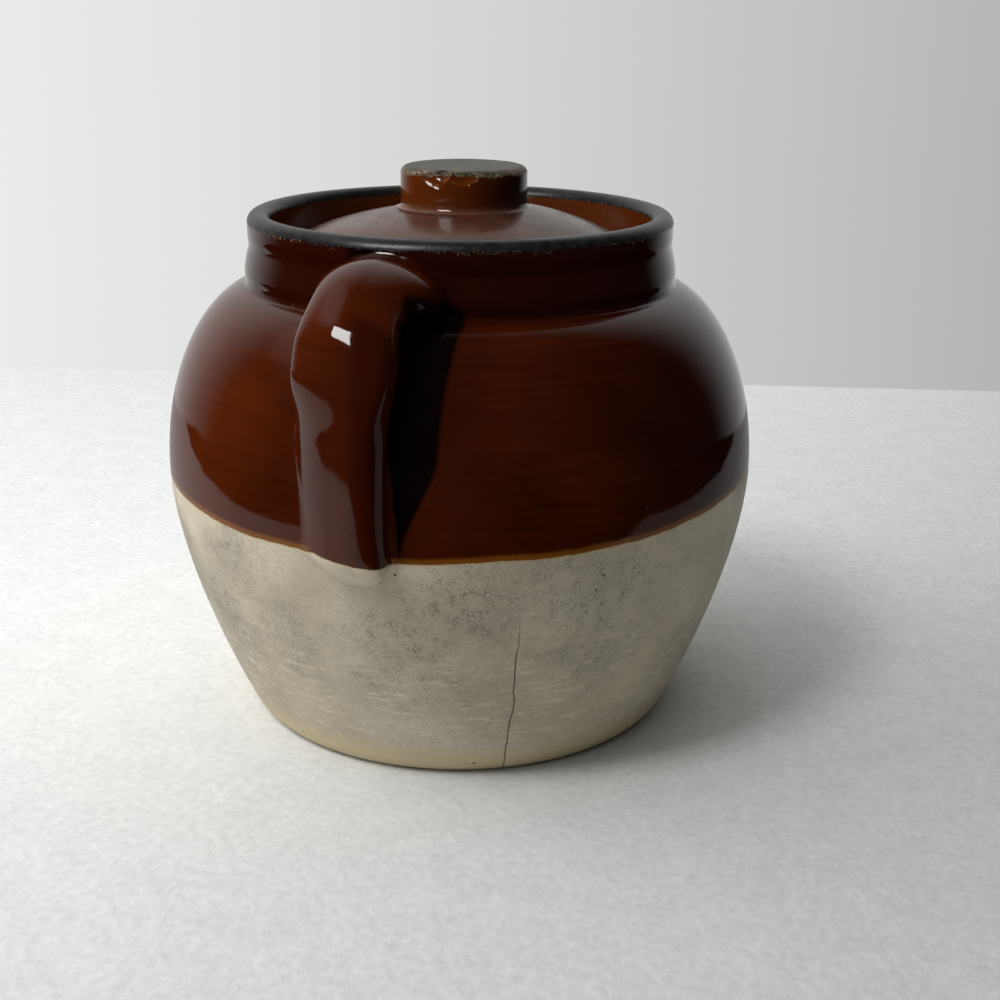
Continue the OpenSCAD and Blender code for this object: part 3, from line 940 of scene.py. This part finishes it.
def potSkin(name, handleRise=0.0):
    material, tree = newMaterial(name)
    point = addNode(tree, "TexCoord").outputs["Object"]
    height = addNode(tree, "SeparateXYZ", [point]).outputs["Z"]
    lean = addNode(
        tree, "VectorMath", [point, (dip["leanX"], dip["leanY"], 1.0)], operation="DOT_PRODUCT")
    half = dip["waves"] * mm / 2
    waves = addNode(tree, "MapRange", [
        addNode(tree, "TexNoise", {"Vector": point, "Scale": perMm(26), "Detail": 2.0}),
        0.3, 0.7, -half, half])
    fine = addNode(tree, "MapRange", [
        addNode(tree, "TexNoise", {"Vector": point, "Scale": perMm(4), "Detail": 3.0}),
        0.2, 0.8, -0.5 * half, 0.5 * half])
    above = addNode(tree, "Math", [
        addNode(tree, "Math", [lean.outputs["Value"], waves], operation="ADD"),
        fine], operation="ADD")
    level = addNode(tree, "VectorMath", [point, (1, 1, 0)], operation="MULTIPLY")
    radius = addNode(tree, "VectorMath", [level], operation="LENGTH").outputs["Value"]
    wall, free = dip["offWall"]
    offWall = addNode(tree, "MapRange", [radius, wall * mm, free * mm])
    rise = addNode(tree, "Math", [offWall, handleRise * mm], operation="MULTIPLY")
    above = addNode(tree, "Math", [
        above,
        addNode(tree, "Math", [rise, dip["height"] * mm], operation="ADD")], operation="SUBTRACT")
    slipShare = addNode(tree, "MapRange", [above, -0.1 * mm, 0.1 * mm])
    amberTop = dip["amberHeight"] * mm
    thick = addNode(
        tree, "MapRange", [above, 0.6 * amberTop, 1.7 * amberTop], interpolation_type="SMOOTHSTEP")
    if handleRise:
        thick = addNode(tree, "Math", [thick, offWall], operation="MAXIMUM")
    close = addNode(
        tree, "MapRange", [radius, (pot["neck"] + 1) * mm, (pot["neck"] + 4) * mm, 1.0, 0.0])
    onNeck = addNode(tree, "MapRange", [
        height, (pot["neckHeight"] - 2) * mm, (pot["neckHeight"] + 2) * mm, 0.0, 0.85])
    onNeck = addNode(tree, "Math", [onNeck, close], operation="MULTIPLY")
    brown = addNode(tree, "Mix", {
        0: onNeck, 6: slipColour(tree, point), 7: linear(slip["neck"])}, data_type="RGBA")
    if handleRise:
        # painted shade: the strap is darker along its right side, away from the light
        side = addNode(tree, "VectorMath", [point, (1, 0.2, 0)], operation="DOT_PRODUCT")
        start, full = slip["shadedSide"]
        shadeShare = addNode(tree, "MapRange", [
            side.outputs["Value"], start * mm, full * mm, 0.0,
            slip["shadeShare"]], interpolation_type="SMOOTHSTEP")
        brown = addNode(tree, "Mix", {
            0: addNode(tree, "Math", [shadeShare, offWall], operation="MULTIPLY"),
            6: brown, 7: linear(slip["neck"])}, data_type="RGBA")
    # the handle's painted shadow, nearly black
    brown = addNode(tree, "Mix", {
        0: paintedShadowShare(tree, point, handleRise > 0), 6: brown,
        7: linear(paintedShadow["colour"])}, data_type="RGBA")
    brown = addNode(tree, "Mix", {0: thick, 6: linear(slip["amber"]), 7: brown}, data_type="RGBA")
    cream, flaws = creamColour(tree, point, height, fine)
    goldShare = addNode(tree, "MapRange", [above, -0.5 * mm, -0.15 * mm, 0.0, 0.8])
    cream = addNode(
        tree, "Mix", {0: goldShare, 6: cream, 7: linear(feldspar["edge"])}, data_type="RGBA")
    colour = addNode(tree, "Mix", {0: slipShare, 6: cream, 7: brown}, data_type="RGBA")
    # the wiped rim
    rimLow = pot["height"] - rimSkin["wiped"]
    ragged = addNode(tree, "Math", [
        height,
        addNode(tree, "MapRange", [
            addNode(tree, "TexNoise", {"Vector": point, "Scale": perMm(2.4), "Detail": 5.0}),
            0.2, 0.8, -0.7 * mm, 0.7 * mm])], operation="ADD")
    ragged = addNode(tree, "Math", [ragged, close], operation="MULTIPLY")
    rimShare = addNode(tree, "MapRange", [ragged, (rimLow - 0.15) * mm, (rimLow + 0.15) * mm])
    mottle = addNode(tree, "MapRange", [
        addNode(tree, "TexNoise", {"Vector": point, "Scale": perMm(2.2), "Detail": 6.0}),
        0.35, 0.7])
    grey = addNode(tree, "Mix", {
        0: mottle, 6: linear(rimSkin["grey"]), 7: linear(rimSkin["light"])}, data_type="RGBA")
    colour = addNode(tree, "Mix", {0: rimShare, 6: colour, 7: grey}, data_type="RGBA")
    nearEdge = addNode(tree, "MapRange", [
        addNode(tree, "Math", [
            addNode(
                tree, "Math", [ragged, rimLow * mm], operation="SUBTRACT")], operation="ABSOLUTE"),
        0.2 * mm, 0.7 * mm, 1.0, 0.0])
    gritShare = addNode(tree, "Math", [
        nearEdge,
        addNode(tree, "MapRange", [
            addNode(tree, "TexNoise", {"Vector": point, "Scale": perMm(0.6), "Detail": 2.0}),
            0.56, 0.66])], operation="MULTIPLY")
    gritShare = addNode(tree, "Math", [
        gritShare,
        addNode(tree, "MapRange", [
            addNode(tree, "TexNoise", {"Vector": point, "Scale": perMm(9), "Detail": 3.0}),
            0.42, 0.62, 0.1, 0.8])], operation="MULTIPLY")
    colour = addNode(
        tree, "Mix", {0: gritShare, 6: colour, 7: linear(rimSkin["grit"])}, data_type="RGBA")
    creamRough = addNode(tree, "MapRange", [
        addNode(tree, "TexNoise", {"Vector": point, "Scale": perMm(24), "Detail": 4.0}),
        0.3, 0.7, feldspar["worn"], feldspar["smooth"]])
    rough = addNode(tree, "Mix", {0: slipShare, 2: creamRough, 3: slipRoughness(tree, point)})
    rough = addNode(tree, "Mix", {0: rimShare, 2: rough, 3: rimSkin["rough"]})
    relief = addNode(tree, "Math", [
        slipRelief(tree, point),
        addNode(tree, "Math", [slipShare, 0.1 * mm], operation="MULTIPLY")], operation="ADD")
    relief = addNode(tree, "Math", [
        relief,
        addNode(tree, "Math", [flaws, 0.15 * mm], operation="MULTIPLY")], operation="SUBTRACT")
    grit = addNode(tree, "Math", [
        addNode(tree, "Math", [
            addNode(tree, "TexNoise", {"Vector": point, "Scale": perMm(0.8), "Detail": 3.0}),
            rimShare], operation="MULTIPLY"),
        0.06 * mm], operation="MULTIPLY")
    finish(tree, colour, rough, addNode(tree, "Math", [relief, grit], operation="ADD"))
    return material


# the same slip glaze inside the pot, where no cream shows, fired lighter over the clay
insideWarmth = {"colour": "#7a3c14", "share": 0.35}


def insideSkin():
    material, tree = newMaterial("slipGlazeInside")
    point = addNode(tree, "TexCoord").outputs["Object"]
    warmth = linear(insideWarmth["colour"])
    colour = addNode(tree, "Mix", {
        0: insideWarmth["share"], 6: slipColour(tree, point), 7: warmth}, data_type="RGBA")
    finish(tree, colour, slipRoughness(tree, point), slipRelief(tree, point))
    return material


# the lid's slip glaze is dulled by handling: a thin film of dust over it gives a dusty lilac
# where it mirrors the pale room
dustFilm = {
    "colour": "#6a5c51",
    "size": 9,               # of its clouds, mm
    "thin": 0.1,
    "thick": 0.34,
    # near the knob the film is thinner and the lid browner, a painted reflection of the dark knob:
    "wiped": (17, 30),       # from the knob's joint: there it is thinner, mm
    "smooth": 0.16,
    "rough": 0.32,
}


def lidSkin():
    material, tree = newMaterial("dustySlipGlaze")
    point = addNode(tree, "TexCoord").outputs["Object"]
    film = addNode(tree, "MapRange", [
        addNode(
            tree, "TexNoise", {"Vector": point, "Scale": perMm(dustFilm["size"]), "Detail": 6.0}),
        0.3, 0.75, dustFilm["thin"], dustFilm["thick"]])
    # painted reflection of the knob: the film is thinner near its joint
    fromJoint = addNode(
        tree, "VectorMath", [point, (0, 0, knobLow.z)], operation="DISTANCE").outputs["Value"]
    near, far = dustFilm["wiped"]
    film = addNode(tree, "Math", [
        film,
        addNode(
            tree, "MapRange", [fromJoint, near * mm, far * mm, 0.3, 1.0])], operation="MULTIPLY")
    colour = addNode(tree, "Mix", {
        0: film, 6: slipColour(tree, point), 7: linear(dustFilm["colour"])}, data_type="RGBA")
    rough = addNode(tree, "MapRange", [
        addNode(tree, "TexNoise", {"Vector": point, "Scale": perMm(6), "Detail": 5.0}),
        0.3, 0.7, dustFilm["smooth"], dustFilm["rough"]])
    finish(tree, colour, rough, slipRelief(tree, point))
    return material


# the knob's glaze is worn off its top, down to dark clay with pale grit along the edge
worn = {
    "glaze": "#6e330b",      # where it is thin it is lighter
    "clay": "#1f1812",
    "grit": "#a08a68",
    "gritSize": 0.4,         # mm
    "topDark": "#34332f",
    "topLight": "#504e48",
    "dust": "#5a4c44",
    "chipEdgeHighlight": "#8f744e",
    "edgeDown": 1.9,         # how far down from the top the edge is worn, mm
    "topDown": 0.7,
    "rough": 0.5,
    # painted shade on the knob's right side, away from the light:
    "shadedSide": (2, 14),     # where it darkens towards its right side, mm
}


def knobSkin():
    material, tree = newMaterial("wornSlipGlaze")
    point = addNode(tree, "TexCoord").outputs["Object"]
    height = addNode(tree, "SeparateXYZ", [point]).outputs["Z"]
    centre = Vector((*knob["offCentre"], 0)) * mm
    level = addNode(tree, "VectorMath", [point, centre], operation="SUBTRACT")
    level = addNode(tree, "VectorMath", [level, (1, 1, 0)], operation="MULTIPLY")
    radius = addNode(tree, "VectorMath", [level], operation="LENGTH").outputs["Value"]
    glaze = addNode(tree, "Mix", {
        0: 0.5, 6: slipColour(tree, point), 7: linear(worn["glaze"])}, data_type="RGBA")
    # painted shade: the side away from the light is painted nearly black
    side = addNode(tree, "VectorMath", [point, (0.95, 0.32, 0)], operation="DOT_PRODUCT")
    start, full = worn["shadedSide"]
    shadeShare = addNode(tree, "MapRange", [side.outputs["Value"], start * mm, full * mm, 0.0, 0.75])
    glaze = addNode(
        tree, "Mix", {0: shadeShare, 6: glaze, 7: linear(slip["deep"])}, data_type="RGBA")
    grain = addNode(tree, "MapRange", [
        addNode(
            tree, "TexNoise", {"Vector": point, "Scale": perMm(worn["gritSize"]), "Detail": 3.0}),
        0.42, 0.66])
    gritty = addNode(
        tree, "Mix", {0: grain, 6: linear(worn["clay"]), 7: linear(worn["grit"])}, data_type="RGBA")
    ragged = addNode(tree, "Math", [
        height,
        addNode(tree, "MapRange", [
            addNode(tree, "TexNoise", {"Vector": point, "Scale": perMm(3), "Detail": 5.0}),
            0.2, 0.8, -0.9 * mm, 0.9 * mm])], operation="ADD")
    top = knob["top"] * mm
    edgeLow = top - worn["edgeDown"] * mm
    topLow = top - worn["topDown"] * mm
    wornShare = addNode(tree, "MapRange", [ragged, edgeLow, edgeLow + 0.6 * mm])
    topShare = addNode(tree, "MapRange", [ragged, topLow, topLow + 0.6 * mm])
    # round its joint it is as dusty as the lid
    joint = domeHeight(knob["radius"]) * mm
    dusty = addNode(tree, "MapRange", [height, joint, joint + 2 * mm, 0.4, 0.0])
    glaze = addNode(tree, "Mix", {0: dusty, 6: glaze, 7: linear(worn["dust"])}, data_type="RGBA")
    colour = addNode(tree, "Mix", {0: wornShare, 6: glaze, 7: gritty}, data_type="RGBA")
    grey = addNode(tree, "Mix", {
        0: addNode(tree, "TexNoise", {"Vector": point, "Scale": perMm(4), "Detail": 5.0}),
        6: linear(worn["topDark"]), 7: linear(worn["topLight"])}, data_type="RGBA")
    colour = addNode(tree, "Mix", {0: topShare, 6: colour, 7: grey}, data_type="RGBA")
    # painted highlight: a pale line along the edge of each chip, as the broken edges catch the light
    fromEdge = addNode(tree, "Math", [
        addNode(tree, "Math", [
            radius, (knob["radius"] - 0.32) * mm], operation="SUBTRACT")], operation="ABSOLUTE")
    lip = addNode(tree, "MapRange", [fromEdge, 0.03 * mm, 0.09 * mm, 0.45, 0.0])
    lip = addNode(tree, "Math", [
        lip,
        addNode(tree, "MapRange", [
            height, top - 2.4 * mm, top - 1.9 * mm, 1.0, 0.0])], operation="MULTIPLY")
    lip = addNode(tree, "Math", [
        lip,
        addNode(tree, "MapRange", [
            addNode(tree, "TexNoise", {"Vector": point, "Scale": perMm(1.3), "Detail": 3.0}),
            0.48, 0.6])], operation="MULTIPLY")
    colour = addNode(
        tree, "Mix", {0: lip, 6: colour, 7: linear(worn["chipEdgeHighlight"])}, data_type="RGBA")
    rough = addNode(tree, "Mix", {0: wornShare, 2: slipRoughness(tree, point), 3: worn["rough"]})
    relief = addNode(tree, "Math", [
        addNode(tree, "Math", [grain, wornShare], operation="MULTIPLY"),
        0.08 * mm], operation="MULTIPLY")
    finish(
        tree, colour, rough,
        addNode(tree, "Math", [relief, slipRelief(tree, point)], operation="ADD"))
    return material


# unglazed stoneware under the pot, IOR 1.5: the eye gets matt, gritty buff
stoneware = {"dark": "#a8916c", "light": "#c7b48f", "clouds": 18, "grit": 0.8, "rough": 0.85}


def bareClay():
    material, tree = newMaterial("bareStoneware")
    point = addNode(tree, "TexCoord").outputs["Object"]
    grit = addNode(
        tree, "TexNoise", {"Vector": point, "Scale": perMm(stoneware["grit"]), "Detail": 3.0})
    clouds = addNode(
        tree, "TexNoise", {"Vector": point, "Scale": perMm(stoneware["clouds"]), "Detail": 5.0})
    colour = addNode(tree, "Mix", {
        0: clouds, 6: linear(stoneware["dark"]), 7: linear(stoneware["light"])}, data_type="RGBA")
    colour = addNode(tree, "Mix", {
        0: 1.0, 6: colour,
        7: addNode(tree, "MapRange", [
            grit, 0.3, 0.7, 0.8, 1.15])}, data_type="RGBA", blend_type="MULTIPLY")
    finish(
        tree, colour, stoneware["rough"],
        addNode(tree, "Math", [grit, 0.08 * mm], operation="MULTIPLY"))
    return material


skin = potSkin("slipOverFeldsparGlaze")
handleSkin = potSkin("slipOverFeldsparGlazeHandle", dip["handleRise"])
lidGlaze = lidSkin()
for piece, materials in (
        (potBody, (skin, insideSkin(), bareClay())), (strapHandle, (handleSkin,)),
        (lidDisc, (lidGlaze,)), (lidKnob, (knobSkin(),))):
    for material in materials:
        piece.data.materials.append(material)
print("materials made")

for piece, node, body in (
        (potBody, "pot_body", "pot"), (strapHandle, "handle", "pot"), (lidDisc, "lid", "lid"),
        (lidKnob, "lid_knob", "lid")):
    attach(piece, body)
    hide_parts(node)


# the studio, with its lengths in mm and the lamps' sizes in metres
studio = {
    "cloth": "#e9eae9",
    "backEdge": 370,         # from the pot's axis to the table's far edge
    "edgeTurn": 13.3,        # how far that edge is turned, degrees
    "otherEdges": 900,
    # in the glaze the lit cloth is seen only this far from the axis along each direction
    # (degrees round the pot): beyond it the room is dark
    "litCloth": ((-41.8, 297), (23, 160), (90, 330)),
    "mirroredCloth": 0.45,   # how bright it is there, as the dim reflections of a photograph
    "roomDark": "#0a0807",
    "wall": 0.62,            # brightness of the wall behind, mirrored in the glaze
    "ceiling": 0.5,
    "skyHigh": 1.1,          # light from above on the left
    "skyLow": 0.03,          # and from the dark side of the room
    "keyPower": 4.5,
    "keySize": (0.24, 0.24),
    "keyPlace": (-269, -527, 939),
    "fillPower": 4.0,
    "fillSize": (0.8, 0.6),
    "fillPlace": (-800, -200, 600),
    "glintPower": 6.3,
    "glintSize": (0.36, 0.38),
    "glintPlace": (-322, -811, 725),
    "glintTarget": (0, -85, 110),
}


def makeTable():
    deselectAll()
    bpy.ops.mesh.primitive_plane_add(size=1)
    table = bpy.context.object
    table.name = "table"
    back, other = studio["backEdge"] * mm, studio["otherEdges"] * mm
    bpy.ops.object.mode_set(mode="EDIT")
    bpy.ops.mesh.select_all(action="SELECT")
    bpy.ops.transform.resize(value=(2 * other, back + other, 1))
    bpy.ops.transform.translate(value=(0, (back - other) / 2, 0))
    bpy.ops.object.mode_set(mode="OBJECT")
    table.rotation_euler.z = math.radians(studio["edgeTurn"])
    bpy.ops.object.transform_apply(location=True, rotation=True, scale=True)
    table.data.materials.append(feltSkin())
    return table


# pale felt: fibres a few millimetres long, matt, hardly any shine
def feltSkin():
    material, tree = newMaterial("feltCloth")
    point = addNode(tree, "TexCoord").outputs["Object"]
    fluff = addNode(tree, "TexNoise", {"Vector": point, "Scale": perMm(2.6), "Detail": 6.0})
    tufts = addNode(tree, "TexNoise", {"Vector": point, "Scale": perMm(11), "Detail": 3.0})
    tone = addNode(tree, "Math", [
        addNode(tree, "MapRange", [fluff, 0.3, 0.7, 0.91, 1.04]),
        addNode(tree, "MapRange", [tufts, 0.3, 0.7, -0.035, 0.025])], operation="ADD")
    # painted shade: it is darker towards the dark side of the room
    side = addNode(tree, "VectorMath", [point, (-1.1, 0.5, 0.0)], operation="DOT_PRODUCT")
    tone = addNode(tree, "Math", [
        tone,
        addNode(tree, "MapRange", [
            side.outputs["Value"], -0.27, 0.17, 0.58, 1.0])], operation="MULTIPLY")
    mirrored = addNode(tree, "LightPath").outputs["Is Glossy Ray"]
    tone = addNode(tree, "Math", [
        tone,
        addNode(tree, "MapRange", [
            mirrored, 0.0, 1.0, 1.0, studio["mirroredCloth"]])], operation="MULTIPLY")
    colour = addNode(tree, "Mix", {
        0: 1.0, 6: linear(studio["cloth"]), 7: tone}, data_type="RGBA", blend_type="MULTIPLY")
    bump = addNode(tree, "Bump", {
        "Height": addNode(tree, "Math", [fluff, 0.5 * mm], operation="MULTIPLY"),
        "Distance": 1.0, "Strength": 0.5})
    cloth = addNode(tree, "BsdfPrincipled", {
        "Base Color": colour, "Roughness": 0.95, "Normal": bump, "Specular IOR Level": 0.1})
    beyond = 0.0
    for turn, reach in studio["litCloth"]:
        angle = math.radians(turn)
        away = addNode(tree, "VectorMath", [
            point,
            (math.sin(angle), -math.cos(angle), 0.0)], operation="DOT_PRODUCT").outputs["Value"]
        beyond = addNode(tree, "Math", [
            addNode(tree, "MapRange", [
                away, (reach - 6) * mm, (reach + 6) * mm], interpolation_type="SMOOTHSTEP"),
            beyond], operation="MAXIMUM")
    room = addNode(tree, "Emission", {"Color": linear(studio["roomDark"]), "Strength": 1.0})
    surface = addNode(tree, "MixShader", [
        addNode(tree, "Math", [beyond, mirrored], operation="MULTIPLY"),
        cloth, room])
    addNode(tree, "OutputMaterial", {"Surface": surface})
    return material


def makeRoom():
    world = bpy.data.worlds.new("room")
    bpy.context.scene.world = world
    world.use_nodes = True
    tree = world.node_tree
    tree.nodes.clear()
    towards = addNode(tree, "TexCoord").outputs["Generated"]
    path = addNode(tree, "LightPath")

    def facing(direction):
        unit = Vector(direction).normalized()
        return addNode(
            tree, "VectorMath", [towards, unit], operation="DOT_PRODUCT").outputs["Value"]

    # the pale wall stands behind the pot and to its left
    wallShare = addNode(tree, "MapRange", [
        facing((-0.35, 0.85, 0.22)), 0.3, 0.85, 0.012,
        studio["wall"]], interpolation_type="SMOOTHSTEP")
    ceiling = addNode(tree, "MapRange", [
        facing((-0.7, -0.05, 0.71)), 0.8, 0.96, 0.0,
        studio["ceiling"]], interpolation_type="SMOOTHSTEP")
    wallTone = addNode(tree, "MapRange", [facing((-0.95, -0.31, 0.0)), -0.45, 0.35, 0.41, 0.9])
    sky = addNode(tree, "MapRange", [
        facing((-0.7, 0.12, 0.7)), -0.1, 1.0, studio["skyLow"],
        studio["skyHigh"]], interpolation_type="SMOOTHSTEP")
    mirrored = addNode(tree, "Math", [
        path.outputs["Is Glossy Ray"], path.outputs["Is Transmission Ray"]], operation="MAXIMUM")
    seen = addNode(tree, "Mix", {0: path.outputs["Is Camera Ray"], 2: sky, 3: wallTone})
    ceiling = addNode(tree, "Math", [
        ceiling,
        addNode(tree, "MapRange", [facing((0, 0, 1)), 0.5, 0.72])], operation="MULTIPLY")
    room = addNode(tree, "Math", [wallShare, ceiling], operation="MAXIMUM")
    strength = addNode(tree, "Mix", {0: mirrored, 2: seen, 3: room})
    background = addNode(tree, "Background", {"Color": linear("#fbfcfa"), "Strength": strength})
    addNode(tree, "OutputWorld", {"Surface": background})


def addLamp(name, place, size, power, target=(0, 0, 60)):
    lamp = bpy.data.lights.new(name, "AREA")
    lamp.shape = "RECTANGLE"
    lamp.size, lamp.size_y = size
    lamp.energy = power
    holder = bpy.data.objects.new(name, lamp)
    bpy.context.scene.collection.objects.link(holder)
    holder.location = [c * mm for c in place]
    towards = Vector(target) - Vector(place)
    holder.rotation_euler = towards.to_track_quat("-Z", "Y").to_euler()
    return holder


makeTable()
makeRoom()
key = addLamp("keyLight", studio["keyPlace"], studio["keySize"], studio["keyPower"])
key.visible_glossy = False
glint = addLamp(
    "windowGlint", studio["glintPlace"], studio["glintSize"], studio["glintPower"],
    studio["glintTarget"])
glint.visible_diffuse = False
fill = addLamp("sideWindow", studio["fillPlace"], studio["fillSize"], studio["fillPower"])
fill.visible_glossy = False
print("studio made")

camera = bpy.data.cameras.new("camera")
camera.lens = view["lens"]
camera.sensor_width = 36
holder = bpy.data.objects.new("camera", camera)
bpy.context.scene.collection.objects.link(holder)
holder.location = [c * mm for c in view["place"]]
turn = Matrix.Rotation(math.radians(view["turn"]), 3, "Z")
down = Matrix.Rotation(math.radians(90 - view["down"]), 3, "X")
roll = Matrix.Rotation(math.radians(view["roll"]), 3, "Z")
holder.rotation_euler = (turn @ down @ roll).to_euler()
camera.clip_start = 0.01
camera.clip_end = 50
bpy.context.scene.camera = holder
bpy.context.scene.view_settings.view_transform = "Standard"
